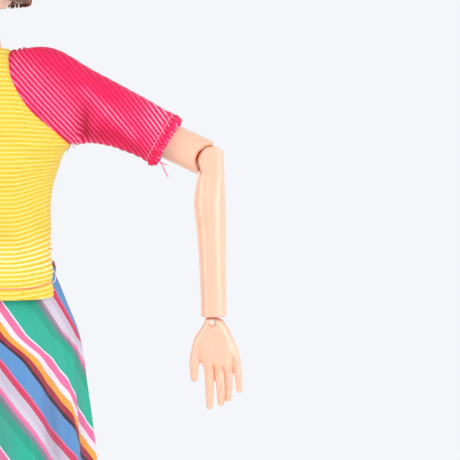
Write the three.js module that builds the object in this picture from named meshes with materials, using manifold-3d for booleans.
// A one-sixth scale jointed fashion doll in a knit top and a striped wrap skirt.
// Millimetres, +Z up, +X to the doll's left, the doll faces -Y and stands on Z = 0.
import * as THREE from 'three';
import { mergeVertices } from 'three/addons/utils/BufferGeometryUtils.js';
import Module from 'manifold-3d';

const wasm = await Module();
wasm.setup();

// Driving dimensions: fits
const clearance = 0.3;
const socketClearance = 0.55;
const cutMargin = 2;
const limbSides = 12;
const trunkSides = 16;
const clothSides = 22;
const pinSides = 8;
const ballSides = 12;
const socketSides = 18;
const fingerSides = 6;
const footSides = 12;

// Driving dimensions: main heights, each on the one below it
const ankleZ = 18;
const shinLength = 66;
const thighLength = 68;
const torsoLength = 80;
const neckRise = 21.2;
const kneeZ = ankleZ + shinLength;
const hipZ = kneeZ + thighLength;
const shoulderZ = hipZ + torsoLength;
const neckTopZ = shoulderZ + neckRise;

// Driving dimensions: torso and neck
const shoulderX = 22;
const hipX = 11.5;
const shellWall = 1.8;
const neckRadius = 4.7;
const chinZ = neckTopZ + 0.8;
const neckBallRadius = 4.4;
const neckBallRise = 6.2;
const neckStemRadius = 2.4;
const neckFlangeRadius = 3.7;
const neckFlangeHeight = 2.4;
const neckFlangeDrop = 13;
const torsoBottomZ = hipZ - 6.5;
const allRound = 400;

// Driving dimensions: shoulder joint
const hubDiscRadius = 4.2;
const hubDiscThickness = 2.6;
const hubStemRadius = 2.2;
const socketWall = 2.4;
const shoulderBallRadius = 6.3;
const tongueThickness = 3.2;
const tongueRadius = 3.1;
const pinRadius = 1;
const pinCover = 1.4;

// Driving dimensions: arm
const upperArmLength = 52;
const upperArmDrop = 25.2;
const upperArmRadius = 5.55;
const elbowBend = 64.8;
const elbowDrumRadius = 4.6;
const elbowDrumHalfWidth = 4.7;
const elbowEndGap = 2.2;
const forearmLength = 48.8;
const forearmEndGap = 1.7;
const forearmWristRadius = 3.9;
const linkTongueThickness = 1.8;
const linkTongueRadius = 2;
const linkPegRadius = 1.7;
const linkPegLength = 6.4;
const linkHeadRadius = 2.3;
const linkHeadHeight = 1.6;
const wristPinRadius = 0.85;
const wristRecessRadius = 1.35;
const wristRecessDepth = 0.5;
const wristStubDepth = 2.7;

// Driving dimensions: leg
const thighBallRadius = 8.8;
const thighDepth = 9.4;
const hipSwings = [-15, 15, 42, 70];
const kneeDrumRadius = 6.1;
const kneeDrumHalfWidth = 5.8;
const kneeEndGap = 2.6;
const kneeRadius = 6.6;
const kneeTongueThickness = 2.4;
const kneeTongueRadius = 2.8;
const kneePegRadius = 2.2;
const kneePegLength = 8;
const hipAxleRadius = 1.5;
const hipAxleReach = 4.4;
const hipFlangeRadius = 3;
const hipFlangeThickness = 1.6;
const soleThickness = 2.2;
const soleRim = 1.5;
const shoeWall = 0.9;
const shoeOpeningRear = 6.5;

// Driving dimensions: clothes
const clothThickness = 0.8;
const clothEase = 0.5;
const topHemZ = hipZ + 18;
const topHemHalfWidth = 22.4;
const topHemDepth = 16.8;
const ventTopZ = hipZ + 28.6;
const ventHalfWidth = 8;
const neckLineZ = shoulderZ + 11.2;
const sleeveLength = 37.8;
const sleeveHemTilt = 0.09;
const sleeveDepth = 8.2;
const sleeveShoulderRound = 9;
const closureWidth = 7;
const closureThickness = 0.6;
const closureBottomZ = hipZ + 32;
const closureTopZ = shoulderZ - 4;
const closureSlit = 0.6;
const bandHeight = 4.4;
const bandTopZ = hipZ + 27.3;
const bandHalfWidth = 21.4;
const skirtHemZ = hipZ - 40;
const skirtThickness = 0.8;
const skirtFolds = 12;
const skirtFoldDepth = 1.5;
const skirtFoldStartZ = hipZ + 14;
const skirtLap = 0.42;
const skirtColumns = 42;
const skirtRows = 5;

// Driving dimensions: head and hair
const hairThickness = 2.8;
const hairHemZ = chinZ + 3.5;
const browZ = chinZ + 13;
const faceOpeningHalfWidth = 12.4;
const faceOpeningTopZ = chinZ + 30;
const headNeckPlay = 2.3;
const headStemPlay = 1.1;

// Stations of the torso: height, half width, front depth, back depth
const torsoStations = [
  [torsoBottomZ, 13, 8, 9.5],
  [hipZ - 2, 17.5, 9.6, 11.4],
  [hipZ + 6, 19.6, 10.6, 12.2],
  [hipZ + 14, 19.4, 10.8, 11.8],
  [hipZ + 25, 17, 10.6, 11],
  [hipZ + 32, 14.6, 9.8, 9.6],
  [hipZ + 39, 13.2, 9, 8.4],
  [hipZ + 48, 14.4, 10.4, 8.8],
  [shoulderZ - 24, 16.4, 14.4, 9.4],
  [shoulderZ - 18, 17.6, 14.8, 9.8],
  [shoulderZ - 10, 18.4, 11.6, 9.8],
  [shoulderZ - 2, 18.2, 9, 8.8],
  [shoulderZ + 3, 15, 7.8, 7.8],
  [shoulderZ + 7, 10.2, 6.8, 6.8],
  [shoulderZ + 10.5, 6.6, 5.8, 5.8],
  [neckTopZ, neckRadius, neckRadius, neckRadius],
];

// Stations of the head: height, half width, front depth, back depth
const headStations = [
  [chinZ, 3.6, 12.6, 1.6],
  [chinZ + 1.4, 7, 14.6, 5],
  [chinZ + 4, 9.6, 15.4, 7.6],
  [chinZ + 9, 12.4, 15.8, 11.6],
  [chinZ + 15, 14.2, 15.6, 15],
  [chinZ + 22, 15.2, 15.4, 16.8],
  [chinZ + 29, 15, 14.8, 16.8],
  [chinZ + 35, 12.8, 12.4, 14.4],
  [chinZ + 39, 8.2, 8.2, 9.6],
  [chinZ + 40.4, 3.6, 3.6, 4.4],
];

// Stations of the knit top: height, half width, front depth, back depth, squareness
const topStations = [
  [topHemZ, topHemHalfWidth, topHemDepth, topHemDepth, 3.8],
  [hipZ + 23.5, 21.7, 16.1, 16, 3.4],
  [hipZ + 28, 20.4, 15.4, 15.2, 3],
  [hipZ + 37, 19.9, 13.4, 13.2, 2.4],
  [hipZ + 49, 20.6, 13.6, 12.2, 2.4],
  [shoulderZ - 23.3, 22.9, 16.2, 12, 2.4],
  [shoulderZ - 19.6, 24.5, 16.3, 12, 2.4],
  [shoulderZ - 17, 26.9, 16.2, 12, 2.4],
  [shoulderZ - 10, 27, 13.8, 12.1, 2.4],
  [shoulderZ - 2, 23.4, 11.4, 11.4, 2.4],
  [shoulderZ + 4, 16.8, 9.6, 9.6, 2.4],
  [shoulderZ + 8, 11.2, 8.2, 8.2, 2.4],
  [neckLineZ, 8, 7.2, 7.2, 2.4],
];

// Stations of the sleeve along the arm: place, reach above the axis, reach below the axis
const sleeveStations = [
  [-14, 11, 6],
  [-4, 10.8, 8],
  [4, 10.2, 10.4],
  [13.6, 9.3, 11.6],
  [16.3, 9.1, 10.8],
  [20.7, 8.8, 9.5],
  [25.4, 8.5, 8.8],
  [32, 8, 8.4],
  [sleeveLength, 7.7, 8.8],
];

// Stations of the upper arm along its axis: place, half width, half depth
const upperArmStations = [
  [-1.6, 6.1, 6.1],
  [6, 6.3, 6.2],
  [14, 6, 5.9],
  [26, 5.7, 5.6],
  [38, upperArmRadius, 5.5],
  [upperArmLength, upperArmRadius, 5.4],
];

// Stations of the forearm below the elbow pin: place, shift towards the body, half width, half depth
const forearmStations = [
  [0, 0.1, 3.6, 4.3],
  [4.2, -0.1, 3.6, 4.6],
  [8, 0.55, 4.45, 4.8],
  [12, 0.7, 4.85, 4.9],
  [21, 0.2, 4.4, 4.6],
  [30, -0.15, 4.05, 4.2],
  [40, -0.4, 3.95, 3.9],
  [forearmLength - forearmEndGap, -0.45, forearmWristRadius, 3.6],
];

// Stations of the palm below the wrist pin: place, edge at the thumb, edge at the little finger, half depth
const palmStations = [
  [-1.15, -1.5, 1.6, wristStubDepth * 0.8],
  [0, -2.4, 3.5, wristStubDepth],
  [1.9, -3.35, 4.9, wristStubDepth],
  [4.4, -4.9, 6.2, 2.5],
  [7.7, -5.5, 7.3, 2.3],
  [10.7, -4.4, 8.3, 2.1],
  [13, -2.8, 8.6, 1.8],
  [15.4, -2, 8.2, 1.3],
];

// Fingers: name, then points as shift, place below the wrist pin, depth and radius
const fingers = {
  thumb: [[-3.8, 6.5, 0.2, 2], [-5.1, 10.5, 0.3, 1.6], [-5.4, 14, 0.2, 1.35], [-5.45, 17, 0, 1]],
  index: [[-0.9, 11.5, 0, 1.7], [-0.95, 16, 0, 1.4], [-0.75, 21, 0.4, 1.3], [-0.9, 25.6, 1, 1.05]],
  middle: [[2, 11.5, 0, 1.8], [2.05, 16, -0.1, 1.5], [2.1, 20, 0.2, 1.45], [2.25, 24.4, 0.9, 1.15]],
  ring: [[4.9, 11.5, 0, 1.7], [4.95, 16, 0.1, 1.35], [4.85, 20, 0.5, 1.2], [4.5, 23.2, 1.1, 1.05]],
  little: [[7, 11, 0, 1.6], [7.45, 15, 0.1, 1.4], [7.65, 18, 0.3, 1.3], [7.95, 20.4, 0.7, 1.05]],
};

// Stations of the thigh below the hip axle: place, shift towards the middle, half width, half depth
const thighStations = [
  [2, 0, 8.7, 8.7],
  [14, 0, 8.9, thighDepth],
  [30, 0.2, 8.2, 8.6],
  [48, 0.3, 7.3, 7.4],
  [hipZ - kneeZ, 0.3, kneeRadius, 6.6],
];

// Stations of the lower leg below the knee pin: place, backward shift, half width, half depth
const lowerLegStations = [
  [0, -0.4, 5.2, 4.6],
  [4.5, -0.6, 5.6, 4.9],
  [9, 0.2, 6.3, 6.3],
  [16, 1, 6.5, 6.9],
  [26, 1.1, 6, 6.6],
  [44, 0.5, 4.2, 4.6],
  [kneeZ - ankleZ, 0.6, 3.5, 4.3],
  [kneeZ - ankleZ + 7, 0.8, 3.7, 4.8],
];

// Stations of the foot from the heel forward: place along -Y, half width, height above the shoe's sole
const footStations = [
  [-7.4, 2.2, 7],
  [-6, 3.3, 10],
  [0, 4, 13],
  [6, 4.3, 10.5],
  [13, 5.1, 6.4],
  [19, 5, 4.4],
  [22.6, 3.4, 3],
];

// Stations of the skirt: height, half width, depth
const skirtStations = [
  [skirtHemZ, 34, 24.4],
  [hipZ - 22, 32.8, 22.6],
  [hipZ - 5.5, 31.2, 20.4],
  [hipZ + 3.6, 29.6, 18.8],
  [hipZ + 10, 27.2, 17.2],
  [hipZ + 16, 24.6, 15.4],
  [bandTopZ - bandHeight, 21.9, 13.4],
];

// Points of the raglan seam from the armpit to the neck: distance from the middle, height over the shoulder
const seamPoints = [[27.8, -27], [27.5, -20.5], [26.8, -17], [23.3, -13.3], [16, -6.5], [11, 1.5], [7.4, 18]];

// Profiles and stations

function along(stations, place) {
  let low = 0;
  while (low < stations.length - 2 && place > stations[low + 1][0]) {
    low += 1;
  }
  const before = stations[Math.max(low - 1, 0)];
  const here = stations[low];
  const next = stations[low + 1];
  const after = stations[Math.min(low + 2, stations.length - 1)];
  const span = next[0] - here[0];
  const t = THREE.MathUtils.clamp((place - here[0]) / span, 0, 1);
  return here.slice(1).map((value, index) => {
    const k = index + 1;
    const leave = ((next[k] - before[k]) / (next[0] - before[0])) * span;
    const arrive = ((after[k] - here[k]) / (after[0] - here[0])) * span;
    const cubic = 2 * t ** 3 - 3 * t ** 2;
    return (
      (cubic + 1) * value
      + (t ** 3 - 2 * t ** 2 + t) * leave
      - cubic * next[k]
      + (t ** 3 - t ** 2) * arrive
    );
  });
}

function spread(start, end, count) {
  return Array.from({ length: count + 1 }, (_, i) => start + ((end - start) * i) / count);
}

function oval(angle, halfWidth, front, back, power = 2.2) {
  const c = Math.cos(angle);
  const s = Math.sin(angle);
  const depth = s < 0 ? front : back;
  return [
    halfWidth * Math.sign(c) * Math.abs(c) ** (2 / power),
    depth * Math.sign(s) * Math.abs(s) ** (2 / power),
  ];
}

function ringOf(sides, pointAt) {
  return Array.from({ length: sides }, (_, i) => pointAt((i / sides) * 2 * Math.PI));
}

// Solids

function solid(geometry) {
  const bare = geometry.clone();
  bare.deleteAttribute('normal');
  bare.deleteAttribute('uv');
  const merged = mergeVertices(bare, 1e-4);
  const corners = merged.index.array;
  const kept = [];
  for (let i = 0; i < corners.length; i += 3) {
    const [a, b, c] = [corners[i], corners[i + 1], corners[i + 2]];
    if (a !== b && b !== c && c !== a) {
      kept.push(a, b, c);
    }
  }
  return new wasm.Manifold(new wasm.Mesh({
    numProp: 3,
    vertProperties: new Float32Array(merged.attributes.position.array),
    triVerts: new Uint32Array(kept),
  }));
}

function facesOut(geometry) {
  const position = geometry.attributes.position;
  const corners = geometry.index.array;
  const [a, b, c] = [new THREE.Vector3(), new THREE.Vector3(), new THREE.Vector3()];
  let volume = 0;
  for (let i = 0; i < corners.length; i += 3) {
    a.fromBufferAttribute(position, corners[i]);
    b.fromBufferAttribute(position, corners[i + 1]);
    c.fromBufferAttribute(position, corners[i + 2]);
    volume += a.dot(b.cross(c));
  }
  if (volume < 0) {
    corners.reverse();
  }
  return geometry;
}

function loft(rings) {
  const sides = rings[0].length;
  const middle = (ring) => ring.reduce((sum, p) => sum.add(p), new THREE.Vector3()).divideScalar(sides);
  const points = [...rings.flat(), middle(rings[0]), middle(rings[rings.length - 1])];
  const [firstCap, lastCap] = [points.length - 2, points.length - 1];
  const lastRing = (rings.length - 1) * sides;
  const faces = [];
  for (let i = 0; i < sides; i += 1) {
    const j = (i + 1) % sides;
    for (let row = 0; row < lastRing; row += sides) {
      faces.push(row + i, row + j, row + sides + j);
      faces.push(row + i, row + sides + j, row + sides + i);
    }
    faces.push(firstCap, j, i);
    faces.push(lastCap, lastRing + i, lastRing + j);
  }
  const geometry = new THREE.BufferGeometry().setFromPoints(points);
  geometry.setIndex(faces);
  return solid(facesOut(geometry));
}

function rod(axis, from, to, radius, sides = limbSides, at = [0, 0, 0]) {
  const geometry = new THREE.CylinderGeometry(radius, radius, Math.abs(to - from), sides);
  if (axis === 'x') {
    geometry.rotateZ(Math.PI / 2);
  }
  if (axis === 'z') {
    geometry.rotateX(Math.PI / 2);
  }
  const centre = { x: [1, 0, 0], y: [0, 1, 0], z: [0, 0, 1] }[axis].map((k, i) => (k * (from + to)) / 2 + at[i]);
  return solid(geometry.translate(...centre));
}

function ball(radius, at = [0, 0, 0], sides = ballSides) {
  return solid(new THREE.SphereGeometry(radius, sides, Math.round(sides / 2)).rotateX(Math.PI / 2).translate(...at));
}

function block(low, high) {
  const size = high.map((value, i) => value - low[i]);
  const centre = high.map((value, i) => (value + low[i]) / 2);
  return solid(new THREE.BoxGeometry(...size).translate(...centre));
}

// A drum about an axis, with rounded rims
function drum(axis, radius, halfWidth, grow = 0) {
  const rim = radius * 0.22;
  const rows = [];
  for (const turn of spread(0, Math.PI / 2, 3)) {
    rows.push([halfWidth - rim + rim * Math.cos(turn) + grow, radius - rim + rim * Math.sin(turn) + grow]);
  }
  const profile = [...rows, ...rows.map(([w, r]) => [-w, r]).reverse()];
  const outline = [[rows[0][0], 0], ...profile, [-rows[0][0], 0]].map(([w, r]) => new THREE.Vector2(r, w));
  const geometry = new THREE.LatheGeometry(outline.reverse(), limbSides + 2);
  if (axis === 'x') {
    geometry.rotateZ(-Math.PI / 2);
  }
  return solid(geometry);
}

// A limb that hangs down -Z: rows of place, shift along X or Y, half width and half depth
function limb(rows, sides = limbSides) {
  return loft(rows.map(([place, shiftX, shiftY, halfWidth, halfDepth]) => ringOf(sides, (angle) => {
    const [x, y] = oval(angle, halfWidth, halfDepth, halfDepth, 2);
    return new THREE.Vector3(x + shiftX, y + shiftY, -place);
  })));
}

function trunk(stations, heights, grow = 0, sides = trunkSides, power = 2.3) {
  return loft(heights.map((height) => {
    const [halfWidth, front, back, squareness = power] = along(stations, height);
    return ringOf(sides, (angle) => {
      const [x, y] = oval(angle, halfWidth + grow, front + grow, back + grow, squareness);
      return new THREE.Vector3(x, y, height);
    });
  }));
}

function mirrored(geometry) {
  const copy = geometry.clone();
  copy.scale(-1, 1, 1);
  copy.index.array.reverse();
  return copy;
}

function geometryOf(shape) {
  const mesh = shape.getMesh();
  const geometry = new THREE.BufferGeometry();
  geometry.setAttribute('position', new THREE.BufferAttribute(new Float32Array(mesh.vertProperties), 3));
  geometry.setIndex(new THREE.BufferAttribute(new Uint32Array(mesh.triVerts), 1));
  return geometry;
}

// Finishes: colour and roughness of each material
const finishes = {
  skin: [0xfdd0b6, 0.3],
  face: [0xfcd2ba, 0.5],
  hair: [0x7a4a2a, 0.5],
  link: [0xe4d8d0, 0.4],
  yellowKnit: [0xf2d53c, 0.9],
  pinkKnit: [0xf0386f, 0.9],
  stripes: [0x3f9be0, 0.6],
  closure: [0xf3f0ea, 0.9],
  shoe: [0xf4f1f2, 0.35],
  sole: [0xf0386f, 0.6],
};

function piece(parent, name, geometry, finish) {
  const [color, roughness] = finishes[finish];
  const mesh = new THREE.Mesh(geometry, new THREE.MeshStandardMaterial({ color, roughness, metalness: 0 }));
  mesh.name = name;
  parent.add(mesh);
  return mesh;
}

// Torso: two shells round one hollow, with sockets for the shoulders, neck and hips

function torsoShape() {
  const heights = [...spread(torsoBottomZ, shoulderZ - 26, 7), ...spread(shoulderZ - 21, neckTopZ, 7)];
  const hollowHeights = spread(hipZ + thighBallRadius + shellWall + 3, shoulderZ - 10, 5);
  let body = trunk(torsoStations, heights).subtract(trunk(torsoStations, hollowHeights, -shellWall));
  const stemHoleFrom = shoulderX - shoulderBallRadius - clearance - socketWall;
  for (const side of [1, -1]) {
    const socket = shoulderBallRadius + socketClearance;
    body = body.subtract(ball(socket, [side * shoulderX, 0, shoulderZ], socketSides));
    body = body.subtract(rod('x', side * shoulderX, side * 2 * shoulderX, socket, socketSides, [0, 0, shoulderZ]));
    body = body.subtract(rod('x', side * stemHoleFrom, side * shoulderX, hubStemRadius + clearance, pinSides,
      [0, 0, shoulderZ]));
    body = body.subtract(rod('x', side * (stemHoleFrom - hubDiscThickness - 2 * clearance), side * stemHoleFrom,
      hubDiscRadius + clearance, limbSides, [0, 0, shoulderZ]));
    const hipSocket = thighBallRadius + socketClearance;
    body = body.subtract(ball(hipSocket, [side * hipX, 0, hipZ], socketSides));
    for (const swing of hipSwings) {
      body = body.subtract(legSweep(side * hipX, swing));
    }
  }
  body = body.subtract(rod('x', -hipX, hipX, hipAxleRadius + clearance, pinSides, [0, 0, hipZ]));
  const flangeTop = neckTopZ - neckFlangeDrop + neckFlangeHeight;
  body = body.subtract(rod('z', flangeTop, neckTopZ + cutMargin, neckStemRadius + clearance, pinSides));
  return body.subtract(rod('z', flangeTop - neckFlangeHeight - 2 * clearance, flangeTop + clearance,
    neckFlangeRadius + clearance, limbSides));
}

// The room that a thigh takes at one angle of its swing
function legSweep(x, swing) {
  const radius = thighDepth + clearance;
  const length = 3 * radius;
  const geometry = new THREE.CylinderGeometry(radius, radius, length, limbSides);
  geometry.rotateX(Math.PI / 2).translate(0, 0, -length / 2);
  return solid(geometry.rotateX(-THREE.MathUtils.degToRad(swing)).translate(x, 0, hipZ));
}

function addTorso(doll) {
  const body = torsoShape();
  const far = allRound;
  const split = clearance / 2;
  piece(doll, 'torso_front', geometryOf(body.intersect(block([-far, -far, 0], [far, -split, far]))), 'skin');
  piece(doll, 'torso_back', geometryOf(body.intersect(block([-far, split, 0], [far, far, far]))), 'skin');
  const flange = hipX + hipAxleReach;
  let axle = rod('x', -flange, flange, hipAxleRadius, pinSides, [0, 0, hipZ]);
  for (const side of [1, -1]) {
    axle = axle.add(rod('x', side * (flange - hipFlangeThickness), side * flange, hipFlangeRadius, pinSides,
      [0, 0, hipZ]));
  }
  piece(doll, 'hip_axle', geometryOf(axle), 'link');
}

// Neck, head and hair

const neckBallZ = neckTopZ + neckBallRise;

function addHead(doll) {
  const flangeBottom = neckTopZ - neckFlangeDrop - clearance;
  let knob = rod('z', flangeBottom, neckBallZ, neckStemRadius, pinSides);
  knob = knob.add(rod('z', flangeBottom, flangeBottom + neckFlangeHeight, neckFlangeRadius, limbSides));
  knob = knob.add(ball(neckBallRadius, [0, 0, neckBallZ]));
  piece(doll, 'neck_knob', geometryOf(knob), 'link');

  const chin = headStations[0][0];
  const crown = headStations[headStations.length - 1][0];
  const skullHeights = [chin, chin + 1, ...spread(chin + 3, crown - 3, 7), crown - 1, crown];
  const skull = trunk(headStations, skullHeights, 0, trunkSides, 2);
  const hollow = trunk(headStations, spread(chin + 6.5, crown - 5, 5), -shellWall - 1.4, limbSides, 2);
  const socket = ball(neckBallRadius + clearance, [0, 0, neckBallZ]);
  const throat = rod('z', chin - cutMargin, neckTopZ + headNeckPlay, neckRadius + headNeckPlay, limbSides);
  const stemHole = rod('z', chin - cutMargin, neckBallZ, neckStemRadius + clearance + headStemPlay, limbSides);
  const head = skull.subtract(hollow).subtract(socket).subtract(throat).subtract(stemHole);
  piece(doll, 'head', geometryOf(head), 'face');

  const heights = [hairHemZ, ...spread(chinZ + 7, crown - 1, 6), crown + hairThickness * 0.6, crown + hairThickness];
  const grown = trunk(hairStations(), heights, 0, trunkSides, 2);
  const inner = trunk(headStations, [hairHemZ - 1, ...skullHeights.slice(2)], clearance, trunkSides, 2);
  const neckRoom = rod('z', hairHemZ - 1, neckBallZ + 4, 10, limbSides, [0, 2, 0]);
  const opening = ringOf(limbSides, (angle) => {
    const [x, z] = oval(angle, faceOpeningHalfWidth, 40, faceOpeningTopZ - browZ, 2.4);
    return new THREE.Vector3(x, 0, browZ + z);
  });
  const face = loft([-30, -4].map((y) => opening.map((p) => new THREE.Vector3(p.x, y, p.z))));
  const hair = grown.subtract(inner).subtract(neckRoom).subtract(face);
  piece(doll, 'hair', geometryOf(hair), 'hair');
}

function hairStations() {
  const crown = headStations[headStations.length - 1][0];
  const rows = headStations
    .filter(([height]) => height > chinZ + 6)
    .map(([height, halfWidth, front, back]) => [
      height, halfWidth + hairThickness, front + hairThickness * 0.6, back + hairThickness,
    ]);
  const [, halfWidth, front, back] = rows[0];
  const tip = [crown + hairThickness, 2.5, 2.5, 3];
  return [[hairHemZ, halfWidth + 0.4, front, back + 1], ...rows, tip];
}

// Arms: built for the doll's left side, then mirrored for the right

function shoulderHub() {
  const discFrom = -(shoulderBallRadius + clearance + socketWall + clearance + hubDiscThickness);
  let hub = rod('x', discFrom, discFrom + hubDiscThickness, hubDiscRadius, limbSides);
  hub = hub.add(rod('x', discFrom + 1, -shoulderBallRadius - clearance, hubStemRadius, pinSides));
  const half = tongueThickness / 2;
  const tongueRise = hubStemRadius * 0.68;
  hub = hub.add(block([-shoulderBallRadius - cutMargin, -half, -tongueRise], [0, half, tongueRise]));
  hub = hub.add(rod('y', -half, half, tongueRadius, limbSides));
  return hub.subtract(rod('y', -half - 1, half + 1, pinRadius + clearance, pinSides));
}

function upperArm() {
  const end = upperArmLength - elbowEndGap;
  const places = [-1.6, 4, 10, 18, 28, 38, end - 0.7, end];
  const rows = places.map((place) => {
    const [halfWidth, halfDepth] = along(upperArmStations, place);
    const trim = place === end ? 0.35 : 0;
    return [place, 0, 0, halfWidth - trim, halfDepth - trim];
  });
  let arm = limb(rows).add(ball(shoulderBallRadius));
  const half = tongueThickness / 2 + clearance;
  const slotEnd = tongueRadius + clearance;
  arm = arm.subtract(block([-20, -half, -slotEnd], [20, half, 20]));
  const pinHalf = shoulderBallRadius - pinCover + clearance;
  arm = arm.subtract(rod('y', -pinHalf, pinHalf, pinRadius + clearance, pinSides));
  arm = arm.subtract(rod('y', -10, 10, elbowDrumRadius + clearance, limbSides + 6, [0, 0, -upperArmLength]));
  return arm.subtract(linkBore(upperArmLength, elbowPeg()));
}

// The peg of a link and the bore that takes it, from the pin towards the limb that holds it
function elbowPeg() {
  return {
    start: elbowDrumRadius + clearance,
    length: linkPegLength,
    radius: linkPegRadius,
    head: linkHeadRadius,
    headHeight: linkHeadHeight,
  };
}

function linkBore(pivot, peg) {
  const from = -pivot + peg.start - cutMargin;
  const top = -pivot + peg.start + peg.length;
  const bore = rod('z', from, top, peg.radius + clearance, pinSides);
  return bore.add(rod('z', top - peg.headHeight - clearance, top + clearance, peg.head + clearance, pinSides));
}

function linkPeg(peg, bottom) {
  const top = peg.start + peg.length;
  const stem = rod('z', bottom, top - 0.2, peg.radius, pinSides);
  return stem.add(rod('z', top - peg.headHeight, top, peg.head, pinSides));
}

function elbowLink() {
  const half = linkTongueThickness / 2;
  const peg = elbowPeg();
  let link = linkPeg(peg, peg.start);
  link = link.add(block([-linkPegRadius * 0.8, -half, 0], [linkPegRadius * 0.8, half, peg.start + 1]));
  link = link.add(rod('y', -half, half, linkTongueRadius, pinSides + 4));
  return link.subtract(rod('y', -3, 3, pinRadius + clearance, pinSides));
}

function forearm() {
  const end = forearmLength - forearmEndGap;
  const places = [0, 5, 8, 12, 16, 21, 28, 38, end - 0.6, end];
  const rows = places.map((place) => {
    const [shift, halfWidth, halfDepth] = along(forearmStations, place);
    const trim = place === end ? 0.4 : 0;
    return [place, -shift, 0, halfWidth - trim, halfDepth - trim];
  });
  let arm = limb(rows).add(drum('y', elbowDrumRadius, elbowDrumHalfWidth));
  const half = linkTongueThickness / 2 + clearance;
  const reach = linkTongueRadius + clearance;
  arm = arm.subtract(block([-10, -half, -reach], [reach, half, 10]));
  const pinHalf = elbowDrumHalfWidth - pinCover + clearance;
  arm = arm.subtract(rod('y', -pinHalf, pinHalf, pinRadius + clearance, pinSides));
  return arm.subtract(linkBore(forearmLength, wristPeg()));
}

function wristPeg() {
  return { ...elbowPeg(), start: forearmEndGap + clearance };
}

function wristLink() {
  const half = linkTongueThickness / 2;
  const peg = wristPeg();
  let link = linkPeg(peg, forearmEndGap + 0.1);
  link = link.add(block([-1, -half, 0], [1, half, peg.start + 0.5]));
  link = link.add(rod('y', -half, half, linkTongueRadius - 0.15, pinSides + 4));
  return link.subtract(rod('y', -3, 3, wristPinRadius + clearance, pinSides));
}

function finger(points) {
  const spine = new THREE.CatmullRomCurve3(points.map(([x, place, y]) => new THREE.Vector3(x, y, -place)));
  const radii = points.map(([, , , radius], i) => [i / (points.length - 1), radius]);
  const rings = [];
  const addRing = (centre, direction, radius) => {
    const side = new THREE.Vector3(0, 1, 0).cross(direction).normalize();
    const up = direction.clone().cross(side).normalize();
    rings.push(ringOf(fingerSides, (angle) => centre.clone()
      .addScaledVector(side, Math.cos(angle) * radius)
      .addScaledVector(up, Math.sin(angle) * radius)));
  };
  for (const t of spread(0, 1, 3)) {
    addRing(spine.getPoint(t), spine.getTangent(t), along(radii, t)[0]);
  }
  const tip = spine.getPoint(1);
  const direction = spine.getTangent(1);
  const radius = radii[radii.length - 1][1];
  for (const turn of [Math.PI / 4, Math.PI * 0.45]) {
    addRing(tip.clone().addScaledVector(direction, radius * Math.sin(turn)), direction, radius * Math.cos(turn));
  }
  return loft(rings);
}

function hand() {
  const places = [-1.15, -0.6, 0, 1.9, 4.4, 7.7, 10.7, 13, 15.4];
  const rows = places.map((place) => {
    const [thumbEdge, littleEdge, depth] = along(palmStations, place);
    return [place, (thumbEdge + littleEdge) / 2, 0, (littleEdge - thumbEdge) / 2, depth];
  });
  let shape = limb(rows, limbSides);
  for (const points of Object.values(fingers)) {
    shape = shape.add(finger(points));
  }
  const half = linkTongueThickness / 2 + clearance;
  const reach = linkTongueRadius + clearance;
  shape = shape.subtract(block([-10, -half, -reach], [10, half, 10]));
  shape = shape.subtract(rod('y', -5, 5, wristPinRadius + clearance, pinSides));
  for (const side of [1, -1]) {
    const face = side * (wristStubDepth - wristRecessDepth);
    shape = shape.subtract(rod('y', face, side * 5, wristRecessRadius, pinSides + 4));
  }
  return shape;
}

function pin(radius, halfLength) {
  return rod('y', -halfLength, halfLength, radius, pinSides);
}

function addArm(doll, side, word) {
  const place = (shape) => (side > 0 ? geometryOf(shape) : mirrored(geometryOf(shape)));
  const shoulder = new THREE.Group();
  shoulder.position.set(side * shoulderX, 0, shoulderZ);
  doll.add(shoulder);
  piece(shoulder, `${word}_shoulder_hub`, place(shoulderHub()), 'link');
  piece(shoulder, `${word}_shoulder_pin`, place(pin(pinRadius, shoulderBallRadius - pinCover)), 'link');

  const arm = new THREE.Group();
  arm.rotation.y = -side * THREE.MathUtils.degToRad(90 - upperArmDrop);
  shoulder.add(arm);
  piece(arm, `${word}_upper_arm`, place(upperArm()), 'skin');

  const elbow = new THREE.Group();
  elbow.position.set(0, 0, -upperArmLength);
  arm.add(elbow);
  piece(elbow, `${word}_elbow_link`, place(elbowLink()), 'link');
  piece(elbow, `${word}_elbow_pin`, place(pin(pinRadius, elbowDrumHalfWidth - pinCover)), 'link');

  const fore = new THREE.Group();
  fore.rotation.y = side * THREE.MathUtils.degToRad(elbowBend);
  elbow.add(fore);
  piece(fore, `${word}_forearm`, place(forearm()), 'skin');

  const wrist = new THREE.Group();
  wrist.position.set(0, 0, -forearmLength);
  fore.add(wrist);
  piece(wrist, `${word}_wrist_link`, place(wristLink()), 'link');
  piece(wrist, `${word}_wrist_pin`, place(pin(wristPinRadius, wristStubDepth - wristRecessDepth)), 'link');
  piece(wrist, `${word}_hand`, place(hand()), 'skin');
}

// Legs: built for the doll's left side, then mirrored for the right

function kneePeg() {
  return {
    start: kneeDrumRadius + clearance,
    length: kneePegLength,
    radius: kneePegRadius,
    head: kneePegRadius + 0.8,
    headHeight: 2,
  };
}

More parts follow.
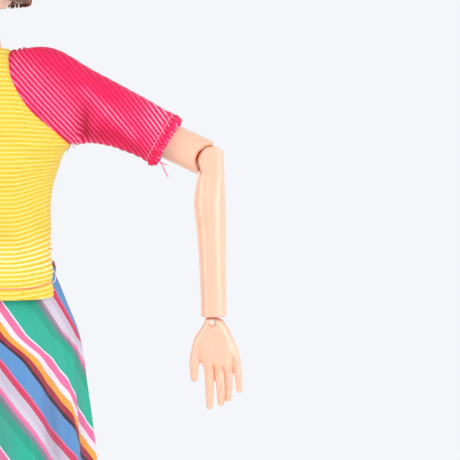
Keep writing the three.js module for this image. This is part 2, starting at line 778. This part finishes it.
function thigh() {
  const length = hipZ - kneeZ;
  const end = length - kneeEndGap;
  const places = [2, 14, 24, 36, 50, end - 0.8, end];
  const rows = places.map((place) => {
    const [shift, halfWidth, halfDepth] = along(thighStations, place);
    const trim = place === end ? 0.4 : 0;
    return [place, -shift, 0, halfWidth - trim, halfDepth - trim];
  });
  let leg = limb(rows).add(ball(thighBallRadius));
  const boreEnd = hipAxleReach + clearance;
  leg = leg.subtract(rod('x', -hipX, boreEnd, hipAxleRadius + clearance, pinSides));
  leg = leg.subtract(rod('x', boreEnd - hipFlangeThickness - 2 * clearance, boreEnd,
    hipFlangeRadius + clearance, pinSides));
  leg = leg.subtract(rod('x', -12, 12, kneeDrumRadius + clearance, limbSides + 6, [0, 0, -length]));
  return leg.subtract(linkBore(length, kneePeg()));
}

function kneeLink() {
  const half = kneeTongueThickness / 2;
  const peg = kneePeg();
  let link = linkPeg(peg, peg.start);
  link = link.add(block([-half, -kneePegRadius * 0.8, 0], [half, kneePegRadius * 0.8, peg.start + 1]));
  link = link.add(rod('x', -half, half, kneeTongueRadius, pinSides + 4));
  return link.subtract(rod('x', -3, 3, pinRadius + clearance, pinSides));
}

function footRing(place, halfWidth, height, floor) {
  return ringOf(footSides, (angle) => {
    const [x, z] = oval(angle, halfWidth, 0, height, 2.4);
    return new THREE.Vector3(x, -place, floor + z);
  });
}

function footShape(floor, grow) {
  const places = spread(footStations[0][0], footStations[footStations.length - 1][0], 8);
  return loft(places.map((place) => {
    const [halfWidth, height] = along(footStations, place);
    const reach = place + Math.sign(place - 6) * grow * (Math.abs(place - 6) > 12 ? 1 : 0);
    return footRing(reach, halfWidth + grow, height + grow, floor);
  }));
}

function lowerLeg() {
  const bottom = kneeZ - ankleZ + 7;
  const places = [0, 4.5, 9, 16, 26, 36, 46, bottom - 7, bottom];
  const rows = places.map((place) => {
    const [shift, halfWidth, halfDepth] = along(lowerLegStations, place);
    return [place, 0, shift, halfWidth, halfDepth];
  });
  const floor = soleThickness + clearance - kneeZ;
  let leg = limb(rows).add(drum('x', kneeDrumRadius, kneeDrumHalfWidth)).add(footShape(floor, 0));
  const half = kneeTongueThickness / 2 + clearance;
  const reach = kneeTongueRadius + clearance;
  leg = leg.subtract(block([-half, -reach, -reach], [half, 20, 20]));
  const pinHalf = kneeDrumHalfWidth - pinCover + clearance;
  return leg.subtract(rod('x', -pinHalf, pinHalf, pinRadius + clearance, pinSides));
}

function shoeUpper() {
  const floor = soleThickness + clearance - kneeZ;
  const outside = footShape(floor, clearance + shoeWall);
  const inside = footShape(floor, clearance).add(footShape(floor - 3, clearance));
  const opening = block([-15, -shoeOpeningRear, floor + 3.4], [15, 20, floor + 40]);
  const top = block([-15, -14, floor + 6.8], [15, 20, floor + 40]);
  const heelTop = block([-15, -1, floor + 7.6], [15, 20, floor + 40]);
  return outside.subtract(inside).subtract(opening.intersect(block([-15, -shoeOpeningRear, 0 - kneeZ], [15, 1, 0])))
    .subtract(top.intersect(block([-15, -14, -kneeZ], [15, 1, 0]))).subtract(heelTop);
}

function shoeSole() {
  const outline = new THREE.Shape();
  const places = spread(footStations[0][0], footStations[footStations.length - 1][0], 12);
  const edge = places.map((place) => [along(footStations, place)[0] + soleRim, -place]);
  const heel = -(footStations[0][0] - soleRim);
  const toe = -(footStations[footStations.length - 1][0] + soleRim);
  const points = [...edge, [0, toe], ...edge.map(([x, y]) => [-x, y]).reverse(), [0, heel]];
  outline.setFromPoints(points.map(([x, y]) => new THREE.Vector2(x, y)));
  const geometry = new THREE.ExtrudeGeometry(outline, { depth: soleThickness, bevelEnabled: false });
  return solid(geometry.translate(0, 0, -kneeZ));
}

function addLeg(doll, side, word) {
  const place = (shape) => (side > 0 ? geometryOf(shape) : mirrored(geometryOf(shape)));
  const hip = new THREE.Group();
  hip.position.set(side * hipX, 0, hipZ);
  doll.add(hip);
  piece(hip, `${word}_thigh`, place(thigh()), 'skin');
  const knee = new THREE.Group();
  knee.position.set(0, 0, kneeZ - hipZ);
  hip.add(knee);
  piece(knee, `${word}_knee_link`, place(kneeLink()), 'link');
  piece(knee, `${word}_knee_pin`, place(rod('x', pinCover - kneeDrumHalfWidth, kneeDrumHalfWidth - pinCover,
    pinRadius, pinSides)), 'link');
  piece(knee, `${word}_lower_leg`, place(lowerLeg()), 'skin');
  piece(knee, `${word}_shoe_upper`, place(shoeUpper()), 'shoe');
  piece(knee, `${word}_shoe_sole`, place(shoeSole()), 'sole');
}

// Knit top: one shell round the torso and arms, cut along the raglan seams

function sleeveTube(side, grow, extra) {
  const drop = THREE.MathUtils.degToRad(upperArmDrop);
  const places = [sleeveStations[0][0] - extra, -7, 0, 7, 13, 18, 25, 32, sleeveLength + extra];
  return loft(places.map((place) => {
    const [above, below] = along(sleeveStations, place);
    const lean = drop * THREE.MathUtils.smoothstep(place, -sleeveShoulderRound, sleeveShoulderRound);
    const up = new THREE.Vector3(side * Math.sin(lean), 0, Math.cos(lean));
    const centre = new THREE.Vector3(shoulderX + place, 0, shoulderZ);
    if (place > 0) {
      centre.set(shoulderX + place * Math.cos(drop), 0, shoulderZ - place * Math.sin(drop));
    }
    centre.x *= side;
    const out = new THREE.Vector3(side * Math.cos(lean), 0, -Math.sin(lean));
    return ringOf(trunkSides, (angle) => {
      const [reach, depth] = oval(angle, 1, 1, 1, 2.2);
      const rise = (reach > 0 ? above + grow : below + grow) * reach;
      const tilt = (Math.max(place, 0) / sleeveLength) * sleeveHemTilt * rise;
      return centre.clone()
        .addScaledVector(out, tilt)
        .addScaledVector(up, rise)
        .add(new THREE.Vector3(0, (sleeveDepth + grow) * depth, 0));
    });
  }));
}

function seamRegion(side, shift) {
  const curve = new THREE.SplineCurve(seamPoints.map(([x, rise]) => new THREE.Vector2(x - shift, shoulderZ + rise)));
  const edge = curve.getPoints(12);
  const far = allRound / 2;
  const first = edge[0];
  const last = edge[edge.length - 1];
  const outline = [...edge, new THREE.Vector2(far, last.y), new THREE.Vector2(far, first.y - 12),
    new THREE.Vector2(first.x, first.y - 12)];
  const shape = new THREE.Shape(outline.map((p) => new THREE.Vector2(side * p.x, p.y)));
  const geometry = new THREE.ExtrudeGeometry(shape, { depth: allRound, bevelEnabled: false });
  return solid(geometry.rotateX(Math.PI / 2).translate(0, allRound / 2, 0));
}

function addTop(doll) {
  const heights = [topHemZ, ...[28, 37].map((rise) => hipZ + rise),
    ...[-33, -24, -17, -9, -1, 6].map((rise) => shoulderZ + rise), neckLineZ];
  const openHeights = [topHemZ - cutMargin, ...heights, neckLineZ + cutMargin];
  const outer = trunk(topStations, heights, 0, clothSides)
    .add(sleeveTube(1, 0, 0))
    .add(sleeveTube(-1, 0, 0));
  const inner = trunk(topStations, openHeights, -clothThickness, clothSides)
    .add(sleeveTube(1, -clothThickness, cutMargin))
    .add(sleeveTube(-1, -clothThickness, cutMargin));
  const shell = outer.subtract(inner);
  let top = shell;
  for (const side of [1, -1]) {
    const word = side > 0 ? 'left' : 'right';
    piece(doll, `${word}_sleeve`, geometryOf(shell.intersect(seamRegion(side, 0))), 'pinkKnit');
    top = top.subtract(seamRegion(side, clearance));
  }
  const vent = block([-allRound, -ventHalfWidth, topHemZ - cutMargin], [allRound, ventHalfWidth, ventTopZ]);
  const slit = block([-closureSlit / 2, 0, topHemZ - cutMargin], [closureSlit / 2, allRound, neckLineZ + cutMargin]);
  piece(doll, 'top_body', geometryOf(top.subtract(vent).subtract(slit)), 'yellowKnit');

  const closureHeights = spread(closureBottomZ, closureTopZ, 10);
  const strip = trunk(topStations, closureHeights, -clothThickness - clearance, clothSides)
    .subtract(trunk(topStations, [closureBottomZ - 1, ...closureHeights, closureTopZ + 1],
      -clothThickness - clearance - closureThickness, clothSides))
    .intersect(block([-closureWidth / 2, 0, 0], [closureWidth / 2, allRound, allRound]));
  piece(doll, 'closure_strip', geometryOf(strip), 'closure');
}

// Skirt: a waistband and two panels that lap at the front and back

function skirtPoint(angle, height, inset) {
  const [halfWidth, depth] = along(skirtStations, height);
  const fall = THREE.MathUtils.smoothstep(skirtFoldStartZ - height, 0, skirtFoldStartZ - skirtHemZ);
  const wave = fall * skirtFoldDepth * Math.cos(skirtFolds * angle);
  const [x, y] = oval(angle, halfWidth + wave - inset, depth + wave - inset, depth + wave - inset, 2.1);
  return new THREE.Vector3(x, y, height);
}

function skirtPanel(side) {
  const start = -Math.PI / 2 - skirtLap;
  const end = Math.PI / 2 + skirtLap;
  const top = bandTopZ - bandHeight - clearance;
  const heights = spread(top, skirtHemZ, skirtRows);
  const tuck = side > 0 ? 0 : skirtThickness + clearance;
  const rings = spread(start, end, skirtColumns).map((angle) => {
    const turned = side > 0 ? angle : Math.PI - angle;
    const beyond = THREE.MathUtils.smoothstep(Math.abs(angle), Math.PI / 2 - skirtLap - 0.35, Math.PI / 2 - skirtLap);
    const outside = heights.map((height) => skirtPoint(turned, height, tuck * beyond));
    const inside = heights.map((height) => skirtPoint(turned, height, tuck * beyond + skirtThickness));
    return [...outside, ...inside.reverse()];
  });
  return stripLoft(rings);
}

// Joins like closed outlines side by side, with flat ends made of the strip between its two faces
function stripLoft(rings) {
  const count = rings[0].length;
  const corners = [];
  for (let row = 0; row < rings.length - 1; row += 1) {
    for (let i = 0; i < count; i += 1) {
      const j = (i + 1) % count;
      const [a, b] = [row * count + i, row * count + j];
      corners.push(a, b, b + count, a, b + count, a + count);
    }
  }
  for (const [first, flip] of [[0, true], [(rings.length - 1) * count, false]]) {
    for (let i = 0; i < count / 2 - 1; i += 1) {
      const [a, b, c, d] = [i, i + 1, count - 2 - i, count - 1 - i].map((k) => k + first);
      corners.push(...(flip ? [a, c, b, a, d, c] : [a, b, c, a, c, d]));
    }
  }
  const geometry = new THREE.BufferGeometry().setFromPoints(rings.flat());
  geometry.setIndex(corners);
  return solid(facesOut(geometry));
}

function addSkirt(doll) {
  const bottom = bandTopZ - bandHeight;
  const depthFront = along(torsoStations, bandTopZ)[1];
  const bandDepth = Math.max(depthFront, along(torsoStations, bottom)[2]) + clothEase + skirtThickness;
  const ring = (z, grow) => ringOf(clothSides, (angle) => {
    const [x, y] = oval(angle, bandHalfWidth + grow, bandDepth + grow, bandDepth + grow, 2.1);
    return new THREE.Vector3(x, y, z);
  });
  const outer = loft([ring(bottom, 0), ring(bandTopZ, -0.4)]);
  const inner = loft([ring(bottom - 1, -skirtThickness + 0.1), ring(bandTopZ + 1, -skirtThickness - 0.5)]);
  piece(doll, 'skirt_waistband', geometryOf(outer.subtract(inner)), 'stripes');
  piece(doll, 'skirt_left_panel', geometryOf(skirtPanel(1)), 'stripes');
  piece(doll, 'skirt_right_panel', geometryOf(skirtPanel(-1)), 'stripes');
}

const doll = new THREE.Group();
addTorso(doll);
addHead(doll);
for (const [side, word] of [[1, 'left'], [-1, 'right']]) {
  addArm(doll, side, word);
  addLeg(doll, side, word);
}
addTop(doll);
addSkirt(doll);

export default doll;
